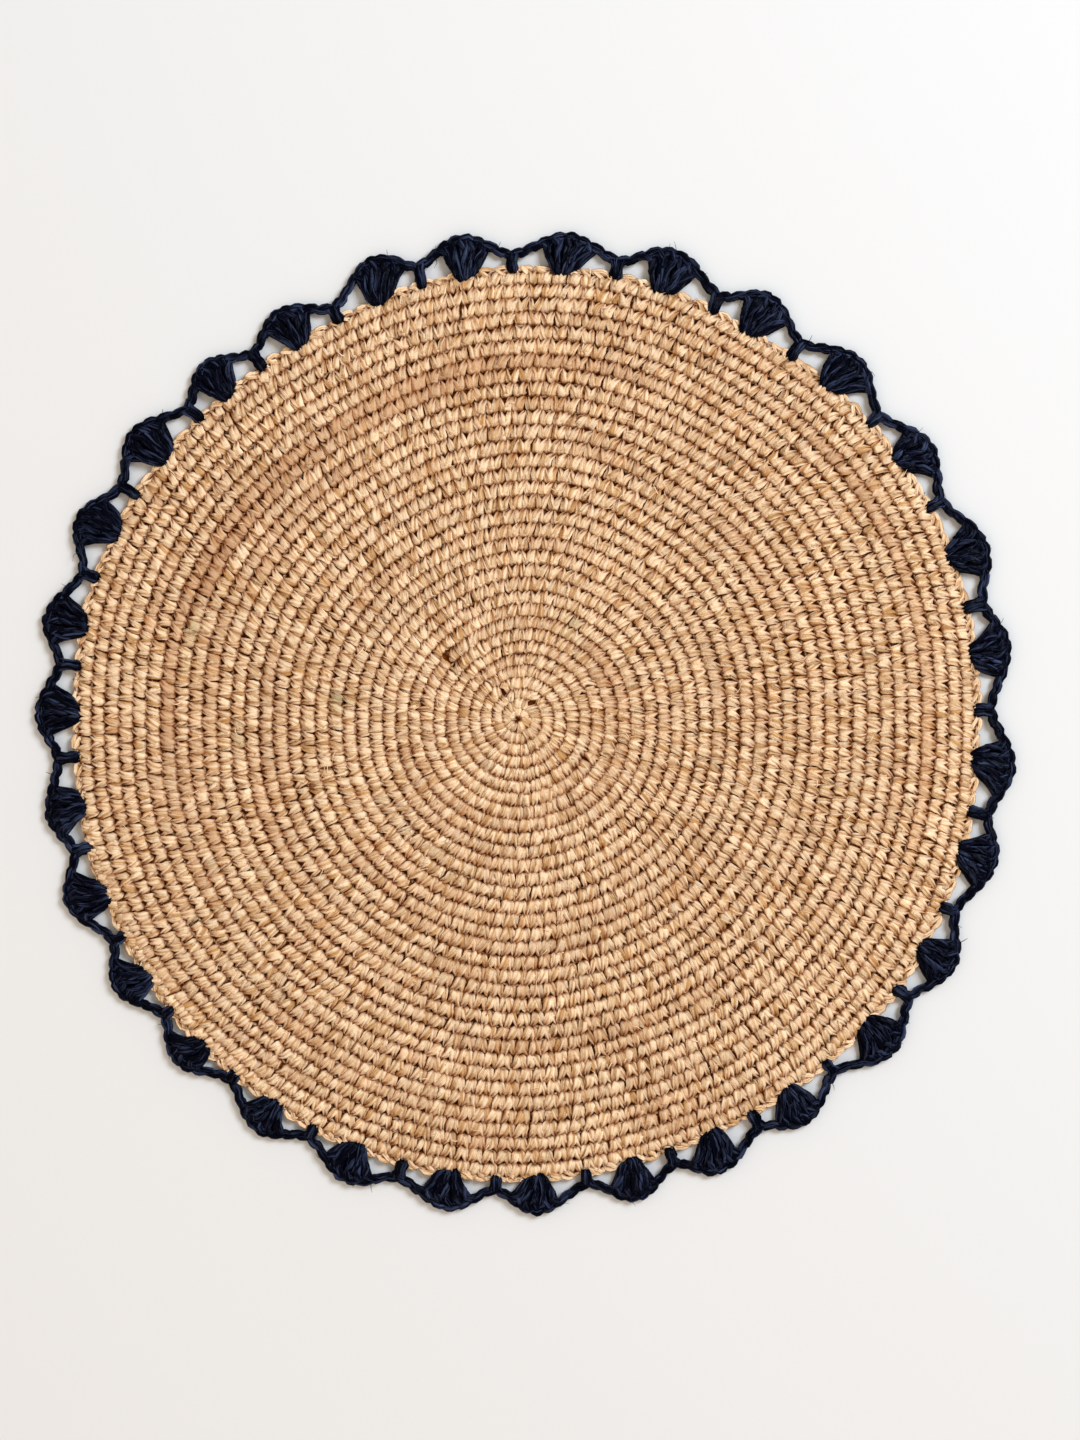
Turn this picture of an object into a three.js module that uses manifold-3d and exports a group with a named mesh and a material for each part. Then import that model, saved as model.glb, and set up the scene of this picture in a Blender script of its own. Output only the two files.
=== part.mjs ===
// Round placemat crocheted in raffia, lying flat. A natural disc is worked as one continuous spiral of
// single crochet, and thirty navy shells are crocheted round its rim. Millimetres, +Z up, lying on z = 0,
// with the origin under the middle of the whole outline. Angles are degrees counter-clockwise from +X.

import * as THREE from 'three';
import { mergeVertices } from 'three/addons/utils/BufferGeometryUtils.js';
import Module from 'manifold-3d';

// The disc
const ROUNDS = 34; // rounds of the spiral from the middle to the rim
const MIDDLE_TIGHTNESS = 0.18; // share by which the innermost rounds are narrower than the average
const RIM_RADIUS = 177; // mean radius out to the chained rim
const LEDGE_WIDTH = 5.0; // flat chained rim outside the last round, under the border's feet
const CREST_HEIGHT = 4.6; // top of a round
const GROOVE_HEIGHT = 3.2; // between two rounds
const LEDGE_HEIGHT = 1.8;
const RIM_UNDERCUT = 0.5; // how far the rim draws in at its underside
const END_ANGLE = 192; // where the spiral runs out at the rim
const END_TAPER = 50; // degrees over which the last round narrows to nothing
const RING_SHIFT = new THREE.Vector2(-3.8, 3.1); // the first round lies off the middle of the rim
const ROUND_SAG = 0.35; // greatest distance from a round's curve to the straight steps that follow it
const FEWEST_STEPS = 10; // in the smallest rounds
const RIM_STEPS = 60; // in the last round
const FIRST_ROUND_WIDTH = 1.5; // in rounds, because it has no round inside it
const SAME_PLACE = 1e-6; // points nearer than this are one point

// How far the rim lies outside its mean radius, every 15 degrees
const RIM_UNEVENNESS = [
  -1.6, 0.3, 1.4, 0.7, -0.4, 1.5, 1.2, -0.5, -3.1, -2.0, 0.2, 0.8,
  -0.7, 0.3, 0.7, 1.2, 0.8, 0.6, 0.0, -2.0, -2.0, -0.8, 0.2, -0.6,
];

// The border
const BRAID_WIDTH = 4.0; // the braided edge that runs along every shell
const BRAID_HEIGHT = 3.2;
// Corners of its section: across, outward from its middle by half widths, and up by whole heights. The
// section is flat underneath and steep on the side of the fans.
const BRAID_SECTION = [[-0.8, 0], [-0.9, 0.8], [0.1, 1], [1, 0.45], [0.6, 0]];
const LINKS = 6; // links of the braid from one post to the next
const LINK_SWELL = 0.09; // share by which a link is fatter at its middle and thinner at its ends
const RIBS = 5; // tall stitches in a fan, raised as ribs
const RIB_DEPTH = 0.045; // of the fan's width
const SIDE_HEIGHT = 0.45; // where the side of a fan or post sticks out furthest, as a share of its height
const SWING_POWER = 0.85; // below 1 the edge has narrower dips and broader tips than a plain wave

// One row for each shell, counter-clockwise. A post begins it, and its fan stands between this post and the
// next. Angles of the post, the fan's foot and its tip; radii of the outer edge, dip at post, reach at tip.
const SHELLS = [
  { post: 2.0, dip: 182.1, foot: 9.0, tip: 9.8, reach: 189.6 },
  { post: 15.0, dip: 185.1, foot: 21.6, tip: 21.8, reach: 191.7 },
  { post: 28.5, dip: 184.9, foot: 35.4, tip: 35.0, reach: 191.0 },
  { post: 41.5, dip: 184.3, foot: 48.4, tip: 48.0, reach: 192.2 },
  { post: 54.5, dip: 184.7, foot: 60.7, tip: 60.5, reach: 192.0 },
  { post: 66.0, dip: 184.8, foot: 72.8, tip: 72.8, reach: 193.3 },
  { post: 79.0, dip: 185.9, foot: 85.5, tip: 85.2, reach: 191.6 },
  { post: 92.0, dip: 185.1, foot: 97.9, tip: 97.8, reach: 191.7 },
  { post: 103.5, dip: 185.3, foot: 109.0, tip: 108.2, reach: 191.5 },
  { post: 115.0, dip: 181.1, foot: 120.7, tip: 121.0, reach: 188.2 },
  { post: 126.5, dip: 181.9, foot: 132.2, tip: 132.0, reach: 188.8 },
  { post: 137.0, dip: 183.0, foot: 143.4, tip: 143.5, reach: 191.6 },
  { post: 149.5, dip: 185.3, foot: 154.7, tip: 155.2, reach: 192.7 },
  { post: 161.0, dip: 184.8, foot: 167.3, tip: 167.5, reach: 192.2 },
  { post: 172.5, dip: 185.3, foot: 178.3, tip: 178.5, reach: 190.7 },
  { post: 184.0, dip: 184.8, foot: 190.1, tip: 190.8, reach: 189.6 },
  { post: 195.5, dip: 184.8, foot: 201.7, tip: 201.0, reach: 192.0 },
  { post: 207.5, dip: 183.4, foot: 213.2, tip: 212.5, reach: 190.1 },
  { post: 218.5, dip: 182.7, foot: 224.4, tip: 223.5, reach: 189.1 },
  { post: 230.0, dip: 181.6, foot: 236.0, tip: 236.2, reach: 189.4 },
  { post: 242.0, dip: 183.1, foot: 247.8, tip: 248.2, reach: 190.7 },
  { post: 254.0, dip: 184.6, foot: 259.9, tip: 260.5, reach: 190.1 },
  { post: 266.0, dip: 182.9, foot: 271.1, tip: 271.0, reach: 189.4 },
  { post: 277.5, dip: 181.4, foot: 283.2, tip: 283.2, reach: 188.9 },
  { post: 288.5, dip: 181.5, foot: 294.2, tip: 293.5, reach: 189.1 },
  { post: 300.0, dip: 182.3, foot: 305.4, tip: 305.2, reach: 188.6 },
  { post: 311.5, dip: 181.8, foot: 318.7, tip: 318.5, reach: 190.5 },
  { post: 324.5, dip: 184.4, foot: 330.5, tip: 330.5, reach: 190.6 },
  { post: 336.5, dip: 183.1, foot: 343.7, tip: 343.8, reach: 189.5 },
  { post: 349.0, dip: 184.1, foot: 355.5, tip: 355.0, reach: 189.4 },
];

// Each shell ends at the next one's post. The last one's is carried past the full turn.
SHELLS.forEach((shell, index) => {
  const next = SHELLS[(index + 1) % SHELLS.length];
  shell.endPost = next.post > shell.post ? next.post : next.post + 360;
  shell.endDip = next.dip;
});

// Sections of a fan from its foot on the ledge to the braid. A section lies out from the rim, then toEdge
// of the way from there to the middle of the braid. It reaches to the left and right of the fan's middle
// line, seen from the disc, and from the height under it to the height over it.
const FAN_SECTIONS = [
  { out: -4.2, toEdge: 0, left: 3.2, right: 2.2, under: 2.1, over: 4.6 },
  { out: 0.7, toEdge: 0, left: 5.8, right: 6.4, under: 2.1, over: 5.0 },
  { out: 0.7, toEdge: 0.4, left: 8.8, right: 8.8, under: 0, over: 3.9 },
  { out: 0.7, toEdge: 1, left: 10.4, right: 10.3, under: 0.4, over: 1.9 },
];
const FAN_INSET = 0.8; // how far a fan's flat underside lies in from its sides

// The same for a post between two shells
const POST_SECTIONS = [
  { out: -2.8, toEdge: 0, left: 1.3, right: 1.3, under: 2.1, over: 4.0 },
  { out: 0.7, toEdge: 0, left: 1.9, right: 1.9, under: 2.1, over: 4.5 },
  { out: 0.7, toEdge: 1, left: 2.8, right: 2.8, under: 0.4, over: 1.9 },
];
const POST_INSET = 0.5;

const NATURAL = new THREE.MeshStandardMaterial({ color: '#cfb084', roughness: 0.62, metalness: 0 });
const NAVY = new THREE.MeshStandardMaterial({ color: '#1d2742', roughness: 0.5, metalness: 0 });

const { euclideanModulo, degToRad, radToDeg, lerp, smoothstep } = THREE.MathUtils;

const wasm = await Module();
wasm.setup();

// The point at an angle and a distance from the middle of the disc.
function polar(angle, radius, height) {
  const turn = degToRad(euclideanModulo(angle, 360));
  return new THREE.Vector3(radius * Math.cos(turn), radius * Math.sin(turn), height);
}

// A smooth value at any angle, from values spaced evenly around the full turn.
function around(values, angle) {
  const place = euclideanModulo(angle, 360) / 360 * values.length;
  const first = Math.floor(place);
  const part = place - first;
  const near = [-1, 0, 1, 2].map((step) => values[(first + step + values.length) % values.length]);
  const [a, b, c, d] = near;
  const bend = 2 * a - 5 * b + 4 * c - d + part * (3 * (b - c) + d - a);
  return b + 0.5 * part * (c - a + part * bend);
}

function rimRadius(angle) {
  return RIM_RADIUS + around(RIM_UNEVENNESS, angle);
}

// Points, and the triangles between them. Points in the same place are one point.
class Surface {
  constructor() {
    this.points = [];
    this.triangles = [];
    this.places = new Map();
  }

  add(point) {
    const place = point.toArray().map((value) => Math.round(value / SAME_PLACE)).join();
    if (!this.places.has(place)) {
      this.places.set(place, this.points.length);
      this.points.push(point);
    }
    return this.places.get(place);
  }

  triangle(a, b, c) {
    if (a !== b && b !== c && c !== a) this.triangles.push(a, b, c);
  }

  // Fills the band between two rows of points, stepping along whichever row is behind.
  band(inner, innerPlaces, outer, outerPlaces) {
    let i = 0;
    let o = 0;
    while (i < inner.length - 1 || o < outer.length - 1) {
      const innerNext = i < inner.length - 1 ? innerPlaces[i + 1] : Infinity;
      const outerNext = o < outer.length - 1 ? outerPlaces[o + 1] : Infinity;
      if (innerNext < outerNext) {
        this.triangle(inner[i], inner[i + 1], outer[o]);
        i += 1;
      } else {
        this.triangle(inner[i], outer[o + 1], outer[o]);
        o += 1;
      }
    }
  }

  geometry() {
    const geometry = new THREE.BufferGeometry().setFromPoints(this.points);
    geometry.setIndex(this.triangles);
    geometry.computeVertexNormals();
    return geometry;
  }
}

// How much of the last round's width is left at a share of its turn.
function lastRoundWidth(share) {
  return smoothstep((1 - share) * 360, 0, END_TAPER);
}

// A point of the spiral, which runs clockwise from the middle: it lies across rounds outward, at a share
// of the turn that begins and ends at the end angle. The rounds fill the disc as far as its ledge.
function spiralPoint(across, share, height) {
  const angle = END_ANGLE - 360 * share;
  const rounds = ROUNDS - 1.5 + share + lastRoundWidth(share);
  const part = across / rounds;
  const outward = part * (1 - MIDDLE_TIGHTNESS * (1 - part) ** 2);
  const point = polar(angle, outward * (rimRadius(angle) - LEDGE_WIDTH), height);
  point.x += RING_SHIFT.x * (1 - part) ** 3;
  point.y += RING_SHIFT.y * (1 - part) ** 3;
  return point;
}

// The counts of turns at which the spiral has its points, more of them in the longer rounds.
function spiralStops() {
  const pitch = (RIM_RADIUS - LEDGE_WIDTH) / ROUNDS;
  const stops = [];
  for (let round = 0; round < ROUNDS; round += 1) {
    const halfStep = Math.acos(1 - ROUND_SAG / (pitch * (round + 1)));
    const needed = round === ROUNDS - 1 ? RIM_STEPS : Math.ceil(Math.PI / halfStep);
    const steps = Math.max(FEWEST_STEPS, needed);
    for (let step = 0; step < steps; step += 1) stops.push(round + step / steps);
  }
  stops.push(ROUNDS);
  return stops;
}

// The crest along a round's middle and the groove along its outer side. The first round opens out of the
// middle of the disc, and the last one narrows to nothing.
function roundSection(turns) {
  const round = Math.min(Math.floor(turns), ROUNDS - 1);
  const share = turns - round;
  const opening = Math.sqrt(share);
  if (round === 0) {
    const height = lerp(GROOVE_HEIGHT, CREST_HEIGHT, opening);
    return {
      crest: spiralPoint(opening, share, height),
      groove: spiralPoint(FIRST_ROUND_WIDTH * opening, share, GROOVE_HEIGHT),
    };
  }
  const isLast = round === ROUNDS - 1;
  const width = isLast ? lastRoundWidth(share) : 1;
  const low = isLast ? LEDGE_HEIGHT : GROOVE_HEIGHT;
  const inside = turns - 0.5;
  return {
    crest: spiralPoint(inside + 0.5 * width, share, lerp(low, CREST_HEIGHT, Math.sqrt(width))),
    groove: spiralPoint(inside + width, share, low),
  };
}

function discGeometry() {
  const surface = new Surface();
  const stops = spiralStops();
  const sections = stops.map(roundSection);
  const crest = sections.map((section) => surface.add(section.crest));
  const groove = sections.map((section) => surface.add(section.groove));

  // The rounds: out over each crest to its groove, and from the groove up to the next round's crest
  const firstEnd = stops.indexOf(1);
  const lastStart = stops.indexOf(ROUNDS - 1);
  const oneRoundOn = stops.slice(firstEnd).map((turns) => turns - 1);
  surface.band([crest[0]], [0], crest.slice(1, firstEnd + 1), stops.slice(1, firstEnd + 1));
  surface.band(crest, stops, groove, stops);
  const insideLast = (row) => row.slice(0, lastStart + 1);
  surface.band(insideLast(groove), insideLast(stops), crest.slice(firstEnd), oneRoundOn);

  // The ledge, the rim and the flat underside
  const rimStops = stops.slice(lastStart);
  const rimRing = (inset, height) => rimStops.map((turns) => {
    const angle = END_ANGLE - 360 * (turns - rimStops[0]);
    return surface.add(polar(angle, rimRadius(angle) - inset, height));
  });
  const top = rimRing(0, LEDGE_HEIGHT);
  const bottom = rimRing(RIM_UNDERCUT, 0);
  const underMiddle = surface.add(new THREE.Vector3(0, 0, 0));
  surface.band(groove.slice(lastStart), rimStops, top, rimStops);
  surface.band(top, rimStops, bottom, rimStops);
  surface.band(bottom, rimStops, [underMiddle], [0]);
  return surface.geometry();
}

// The radius of the border's outer edge, which swings from the dip at a post to the reach at a tip.
function edgeRadius(angle) {
  const start = SHELLS[0].post;
  const place = start + euclideanModulo(angle - start, 360);
  const { post, dip, tip, reach, endPost, endDip } = SHELLS.findLast((shell) => shell.post <= place);
  const rising = place < tip;
  const share = rising ? (place - post) / (tip - post) : (endPost - place) / (endPost - tip);
  const swing = ((1 - Math.cos(Math.PI * share)) / 2) ** SWING_POWER;
  return lerp(rising ? dip : endDip, reach, swing);
}

// A closed solid through loops of as many points each. A ring's last loop joins its first. Every other
// solid has two ends, whose loops start at their left-hand point.
function loft(loops, isRing) {
  const surface = new Surface();
  const rows = loops.map((loop) => loop.map((point) => surface.add(point)));
  const spans = isRing ? rows.length : rows.length - 1;
  for (let span = 0; span < spans; span += 1) {
    const from = rows[span];
    const to = rows[(span + 1) % rows.length];
    from.forEach((corner, index) => {
      const next = (index + 1) % from.length;
      surface.triangle(corner, to[next], to[index]);
      surface.triangle(corner, from[next], to[next]);
    });
  }
  if (!isRing) {
    endFaces(loops[0]).forEach(([a, b, c]) => surface.triangle(rows[0][a], rows[0][b], rows[0][c]));
    const last = rows.at(-1);
    endFaces(loops.at(-1)).forEach(([a, b, c]) => surface.triangle(last[a], last[c], last[b]));
  }
  return surface.geometry();
}

// The triangles that fill a loop, seen from the side of the disc's middle.
function endFaces(loop) {
  const start = loop[0];
  const flat = loop.map((point) => {
    const across = Math.hypot(point.x - start.x, point.y - start.y);
    return new THREE.Vector2(across, point.z);
  });
  return THREE.ShapeUtils.triangulateShape(flat, []);
}

// A point of a shell: across to the right of the line at the middle angle, as seen from the disc.
function shellPoint(middle, across, section, height) {
  const angle = middle - radToDeg(across / RIM_RADIUS);
  const inner = rimRadius(angle) + section.out;
  const outer = edgeRadius(angle) - BRAID_WIDTH / 2;
  return polar(angle, lerp(inner, outer, section.toEdge), height);
}

// A loop of points around a fan's or a post's section: over its ribs from left to right, and back under it.
function sectionLoop(middle, section, ribs, width, inset) {
  const left = -section.left * width;
  const right = section.right * width;
  const depth = RIB_DEPTH * (right - left);
  const side = lerp(section.under, section.over, SIDE_HEIGHT);
  const loop = [];
  for (let step = 0; step <= 2 * ribs; step += 1) {
    const atSide = step === 0 || step === 2 * ribs;
    const height = step % 2 === 1 ? section.over : section.over - depth;
    loop.push(shellPoint(middle, lerp(left, right, step / (2 * ribs)), section, atSide ? side : height));
  }
  loop.push(shellPoint(middle, right - inset, section, section.under));
  loop.push(shellPoint(middle, left + inset, section, section.under));
  return loop;
}

// A fan of tall stitches that spreads from its foot on the ledge to the braid.
function fanGeometry(shell) {
  const width = (shell.endPost - shell.post) / (360 / SHELLS.length);
  return loft(FAN_SECTIONS.map((section) => {
    const middle = lerp(shell.foot, shell.tip, section.toEdge);
    return sectionLoop(middle, section, RIBS, width, FAN_INSET);
  }), false);
}

// The short stitch between two shells.
function postGeometry(shell) {
  return loft(POST_SECTIONS.map((section) => sectionLoop(shell.post, section, 1, 1, POST_INSET)), false);
}

// The braided edge: a ring that dips at each post and swells at each of its links.
function braidGeometry() {
  const loops = [];
  const steps = 2 * LINKS;
  SHELLS.forEach((shell) => {
    for (let step = 0; step < steps; step += 1) {
      const angle = lerp(shell.post, shell.endPost, step / steps);
      const size = 1 + (step % 2 === 0 ? -LINK_SWELL : LINK_SWELL);
      loops.push(braidLoop(angle, size));
    }
  });
  return loft(loops, true);
}

function braidLoop(angle, size) {
  const middle = edgeRadius(angle) - BRAID_WIDTH / 2;
  const half = BRAID_WIDTH / 2 * size;
  const top = BRAID_HEIGHT * size;
  return BRAID_SECTION.map(([across, up]) => polar(angle, middle + across * half, up * top));
}

// A manifold solid from a geometry of points and triangles.
function toSolid(geometry) {
  const plain = geometry.clone();
  plain.deleteAttribute('normal');
  const merged = mergeVertices(plain);
  return new wasm.Manifold(new wasm.Mesh({
    numProp: 3,
    vertProperties: new Float32Array(merged.attributes.position.array),
    triVerts: new Uint32Array(merged.index.array),
  }));
}

function fromSolid(solid) {
  const mesh = solid.getMesh();
  const geometry = new THREE.BufferGeometry();
  geometry.setAttribute('position', new THREE.BufferAttribute(new Float32Array(mesh.vertProperties), 3));
  geometry.setIndex(new THREE.BufferAttribute(new Uint32Array(mesh.triVerts), 1));
  geometry.computeVertexNormals();
  return geometry;
}

// The border is one length of yarn, so its braid, fans and posts are one solid.
function borderGeometry() {
  const pieces = [...SHELLS.map(fanGeometry), ...SHELLS.map(postGeometry)].map(toSolid);
  const whole = pieces.reduce((joined, piece) => joined.add(piece), toSolid(braidGeometry()));
  return fromSolid(whole);
}

const mat = new THREE.Mesh(discGeometry(), NATURAL);
mat.name = 'mat';
const border = new THREE.Mesh(borderGeometry(), NAVY);
border.name = 'border';

// The origin lies under the middle of the outline, which isn't quite the middle of the disc.
const placemat = new THREE.Group();
placemat.add(mat, border);
const outline = new THREE.Box3().setFromObject(placemat);
const outlineMiddle = outline.getCenter(new THREE.Vector3());
placemat.position.set(-outlineMiddle.x, -outlineMiddle.y, 0);

export default placemat;
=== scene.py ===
# %% [markdown]
# A round placemat, crocheted
#
# The real mat is raffia: ribbons of dried palm leaf that pleat themselves into a round, streaky yarn. The
# natural disc is one yarn worked in a spiral of single crochet, and a navy yarn is worked round its rim as
# thirty open shells. Every stitch is built here from its own strands, because the light catches each one.
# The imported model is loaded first. It gives the size and place that all of the strands keep to.

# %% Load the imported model
import math

import bmesh
import bpy
import numpy as np
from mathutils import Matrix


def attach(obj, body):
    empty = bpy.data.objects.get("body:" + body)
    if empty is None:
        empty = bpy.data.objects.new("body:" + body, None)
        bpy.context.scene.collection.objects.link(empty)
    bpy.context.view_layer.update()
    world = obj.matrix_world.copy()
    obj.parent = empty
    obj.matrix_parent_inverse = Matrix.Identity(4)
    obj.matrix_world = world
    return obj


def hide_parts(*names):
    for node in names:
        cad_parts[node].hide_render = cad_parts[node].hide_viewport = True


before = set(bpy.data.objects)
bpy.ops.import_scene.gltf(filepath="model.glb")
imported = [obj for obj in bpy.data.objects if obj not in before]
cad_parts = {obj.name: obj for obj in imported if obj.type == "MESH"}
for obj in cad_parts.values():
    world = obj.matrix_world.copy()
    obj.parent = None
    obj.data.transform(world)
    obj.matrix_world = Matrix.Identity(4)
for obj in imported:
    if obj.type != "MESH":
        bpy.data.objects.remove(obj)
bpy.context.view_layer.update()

# %% [markdown]
# The eye and the light
#
# The photograph looks straight down from about an arm's length and a half. A long lens keeps the circle
# round. A broad, soft and cool light stands at the upper right, like a window, so that shadows fall to the
# lower left. A wide, dim and warm one faces it, as if from a wall, and a pale surround fills the rest. So
# the shadows on the table turn a little warm, as they do in the photograph.

# %% Camera straight above
MM = 0.001
PHOTO_WIDTH = 1080  # pixels
PIXEL = 0.38735 * MM  # one pixel on the table, which makes the border 380 mm across
VIEW_WIDTH = PHOTO_WIDTH * PIXEL
EYE_HEIGHT = 1.3
VIEW_MIDDLE = (5.8 * MM, 1.5 * MM)  # the mat lies a little left of the picture's middle

eye = bpy.data.cameras.new("eye")
eye.sensor_fit = "HORIZONTAL"
eye.lens = eye.sensor_width * EYE_HEIGHT / VIEW_WIDTH
eye.clip_start = 0.05
camera = bpy.data.objects.new("eye", eye)
camera.location = (*VIEW_MIDDLE, EYE_HEIGHT)
bpy.context.scene.collection.objects.link(camera)
bpy.context.scene.camera = camera
bpy.context.scene.view_settings.view_transform = "Standard"
print(f"lens {eye.lens:.0f} mm, {VIEW_WIDTH * 1000:.0f} mm across the picture")

# %% Soft light from the upper right
def soft_light(name, place, size, watts, colour):
    """A square light that faces the middle of the mat."""
    lamp = bpy.data.lights.new(name, "AREA")
    lamp.size = size
    lamp.energy = watts
    lamp.color = colour
    holder = bpy.data.objects.new(name, lamp)
    holder.location = place
    away = holder.location.normalized()
    holder.rotation_euler = away.to_track_quat("Z", "Y").to_euler()
    bpy.context.scene.collection.objects.link(holder)
    print(name, f"{watts} W, {holder.location.length:.2f} m away")


soft_light("window_light", place=(1.4, 1.0, 1.9), size=1.0, watts=55, colour=(0.77, 0.87, 1.0))
soft_light("warm_wall", place=(-1.2, -1.3, 1.6), size=1.6, watts=7.0, colour=(1.0, 0.5, 0.2))

ROOM_COLOUR = (1.0, 0.95, 0.85, 1)
ROOM_BRIGHTNESS = 0.66
world = bpy.data.worlds.new("pale_room")
world.use_nodes = True
surround = world.node_tree.nodes["Background"]
surround.inputs["Color"].default_value = ROOM_COLOUR
surround.inputs["Strength"].default_value = ROOM_BRIGHTNESS
bpy.context.scene.world = world

# %% [markdown]
# Shader sums
#
# A material is a small sum of textures. Written with nodes alone, a sum is long to read, so this class
# wraps a socket and lets plus, minus and times add the Math nodes. A second class holds one material and
# has the one method that adds every other kind of node.

# %% Sockets that can be added and multiplied
class Wire:
    """The output of a node, for use in sums."""

    def __init__(self, finish, socket):
        self.finish = finish
        self.socket = socket

    def _sum(self, operation, first, second):
        return self.finish.node("Math", {"operation": operation}, {0: first, 1: second})

    def __add__(self, other):
        return self._sum("ADD", self, other)

    def __radd__(self, other):
        return self._sum("ADD", other, self)

    def __sub__(self, other):
        return self._sum("SUBTRACT", self, other)

    def __rsub__(self, other):
        return self._sum("SUBTRACT", other, self)

    def __mul__(self, other):
        return self._sum("MULTIPLY", self, other)

    def __rmul__(self, other):
        return self._sum("MULTIPLY", other, self)


class Finish:
    """One material. Its shader is a Principled BSDF."""

    def __init__(self, name):
        self.material = bpy.data.materials.new(name)
        self.material.use_nodes = True
        self.tree = self.material.node_tree
        self.shader = self.tree.nodes["Principled BSDF"]

    def put(self, socket, value):
        """Links a wire to a socket, or sets its value."""
        if isinstance(value, Wire):
            self.tree.links.new(value.socket, socket)
        else:
            socket.default_value = value

    def node(self, kind, settings=None, sockets=None, output=0):
        """Adds a node: its settings first, then what its sockets take. Gives the wire of one output."""
        made = self.tree.nodes.new("ShaderNode" + kind)
        for setting, value in (settings or {}).items():
            if setting == "stops":
                while len(made.color_ramp.elements) < len(value):
                    made.color_ramp.elements.new(1)
                for stop, (place, colour) in zip(made.color_ramp.elements, value):
                    stop.position = place
                    stop.color = (*colour, 1)
            else:
                setattr(made, setting, value)
        for name, value in (sockets or {}).items():
            shown = [socket for socket in made.inputs if socket.enabled and socket.name == name]
            self.put(made.inputs[name] if isinstance(name, int) else shown[0], value)
        outputs = [socket for socket in made.outputs if socket.enabled]
        return Wire(self, outputs[output] if isinstance(output, int) else made.outputs[output])

    def set(self, **values):
        """Sets or links the shader's sockets. An underscore stands for a space."""
        for name, value in values.items():
            self.put(self.shader.inputs[name.replace("_", " ")], value)


print("helpers for finishes:", Wire.__name__, "and", Finish.__name__)

# %% [markdown]
# The finish of raffia
#
# Raffia is a leaf, so its veins run along each strand: fine pale and deep streaks, with a satin gleam. The
# strands carry their own map, with the way across in u and the way along in v, in centimetres, and every
# strand starts at another place of it. Noise that is stretched along v gives the veins and the folds.
#
# Three values are stored on the strands. The first says how light a length of yarn is, and holds a little
# painted light as well. The second says how reddish it is, and below 0 how weathered. The third is painted
# shade: how far a point lies in among the others, where its colour is turned to a strong warm brown for
# the shade there.

# %% Streaked raffia, natural or dyed
WEATHERED = (0.56, 0.45, 0.24)  # the grey-green of a leaf that dried in the wet
VEINS = (26, 1.3, 1)  # across and along each centimetre of a strand
FOLDS = (6, 0.5, 1)
VEIN_SHARE, FOLD_SHARE = 0.35, 0.65  # of the streaks
STREAK_EDGE = 0.14  # noise between a wholly deep and a wholly pale streak
CREASES, CLOUDS = 420, 55  # in each metre
CLOUDING = 0.12
VEIN_DEPTH, FOLD_DEPTH = 0.3, 1.3
RELIEF = 0.0004
DULLING = 0.22  # what the veins add to the roughness


def raffia(name, pale, deep, reddish, shade, pale_from, crumple, roughness, gleam):
    """Satin leaf fibre, from the colours of its pale and deep streaks, its reddish kind and its shade.

    Pale_from is the noise above which a streak is wholly pale, crumple is the depth of the creases that
    cross the veins, and gleam is the strength of the mirroring part of its shine.
    """
    finish = Finish(name)
    on_strand = finish.node("UVMap", {"uv_map": "strand"})
    light = finish.node("Attribute", {"attribute_name": "light"}, output="Fac")
    red = finish.node("Attribute", {"attribute_name": "reddish"}, output="Fac")
    tucked = finish.node("Attribute", {"attribute_name": "tucked"}, output="Fac")
    place = finish.node("TexCoord", output="Object")

    across_veins = finish.node("Mapping", {}, {"Vector": on_strand, "Scale": VEINS})
    vein = finish.node("TexNoise", {}, {"Vector": across_veins, "Scale": 1, "Detail": 3, "Roughness": 0.6})
    across_folds = finish.node("Mapping", {}, {"Vector": on_strand, "Scale": FOLDS})
    fold = finish.node("TexNoise", {}, {"Vector": across_folds, "Scale": 1, "Detail": 2, "Roughness": 0.6})
    crease = finish.node("TexNoise", {}, {"Vector": place, "Scale": CREASES, "Detail": 2, "Roughness": 0.6})
    cloud = finish.node("TexNoise", {}, {"Vector": place, "Scale": CLOUDS, "Detail": 2})

    streak = finish.node("ValToRGB", {"stops": [(pale_from - STREAK_EDGE, deep), (pale_from, pale)]},
                         {"Fac": vein * VEIN_SHARE + fold * FOLD_SHARE})
    tinted = finish.node("Mix", {"data_type": "RGBA", "blend_type": "MIX"},
                         {"Factor": red, "A": streak, "B": (*reddish, 1)})
    greyed = finish.node("Mix", {"data_type": "RGBA", "blend_type": "MIX"},
                         {"Factor": 0 - red, "A": tinted, "B": (*WEATHERED, 1)})
    toned = finish.node("HueSaturation", {},
                        {"Value": light + cloud * CLOUDING - CLOUDING / 2, "Color": greyed})
    # painted shade: where a point lies hidden among the others, its colour turns to the shade colour
    colour = finish.node("Mix", {"data_type": "RGBA", "blend_type": "MIX"},
                         {"Factor": tucked, "A": toned, "B": (*shade, 1)})
    height = vein * VEIN_DEPTH + fold * FOLD_DEPTH + crease * crumple
    relief = finish.node("Bump", {}, {"Strength": 1, "Distance": RELIEF, "Height": height})
    finish.set(Base_Color=colour, Roughness=roughness + vein * DULLING, Normal=relief)
    finish.set(Specular_IOR_Level=gleam)
    return finish.material


# shade is the colour painted where the strands of each finish lie in shade
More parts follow.
